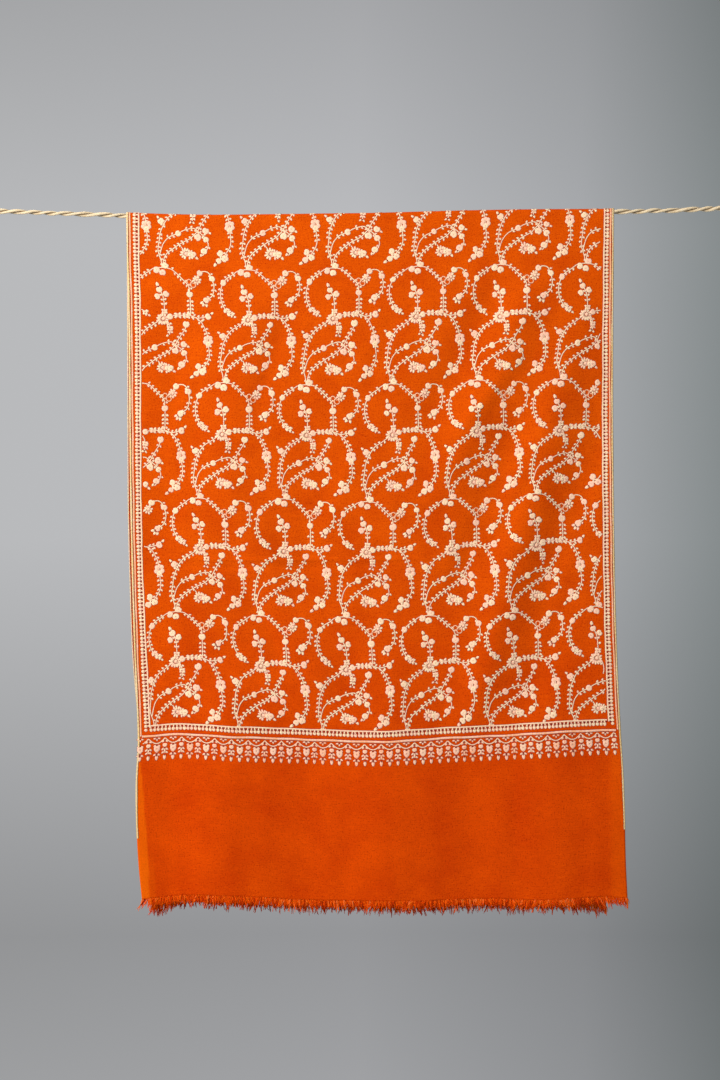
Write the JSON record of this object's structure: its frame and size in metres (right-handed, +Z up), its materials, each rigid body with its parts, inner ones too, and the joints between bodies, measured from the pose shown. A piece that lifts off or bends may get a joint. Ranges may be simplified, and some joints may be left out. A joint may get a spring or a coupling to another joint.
{
  "type": "pashmina shawl on a rope",
  "caption": "Fringed wool shawl with embroidered vines, hung doubled over a taut jute rope that has an eye at each end.",
  "frame": {"origin": "the rope's centre line at mid-span, where the shawl hangs over it", "axes": "+X along the rope to the viewer's right, +Y away from the viewer, +Z up"},
  "size_m": [1.1672, 0.0333, 1.0399],
  "materials": {
    "pashmina": "matte",
    "embroidery": "satin",
    "fringe": "matte",
    "rope": "matte",
    "twine": "matte"
  },
  "bodies": {
    "root": {"shawl_front_fall": "pashmina", "shawl_back_fall": "pashmina", "shawl_over_rope": "pashmina", "fringe_front": "fringe", "fringe_back": "fringe", "rope": "rope", "rope_eye_left": "rope", "rope_eye_right": "rope", "rope_seizing_left": "twine", "rope_seizing_right": "twine"}
  },
  "joints": []
}
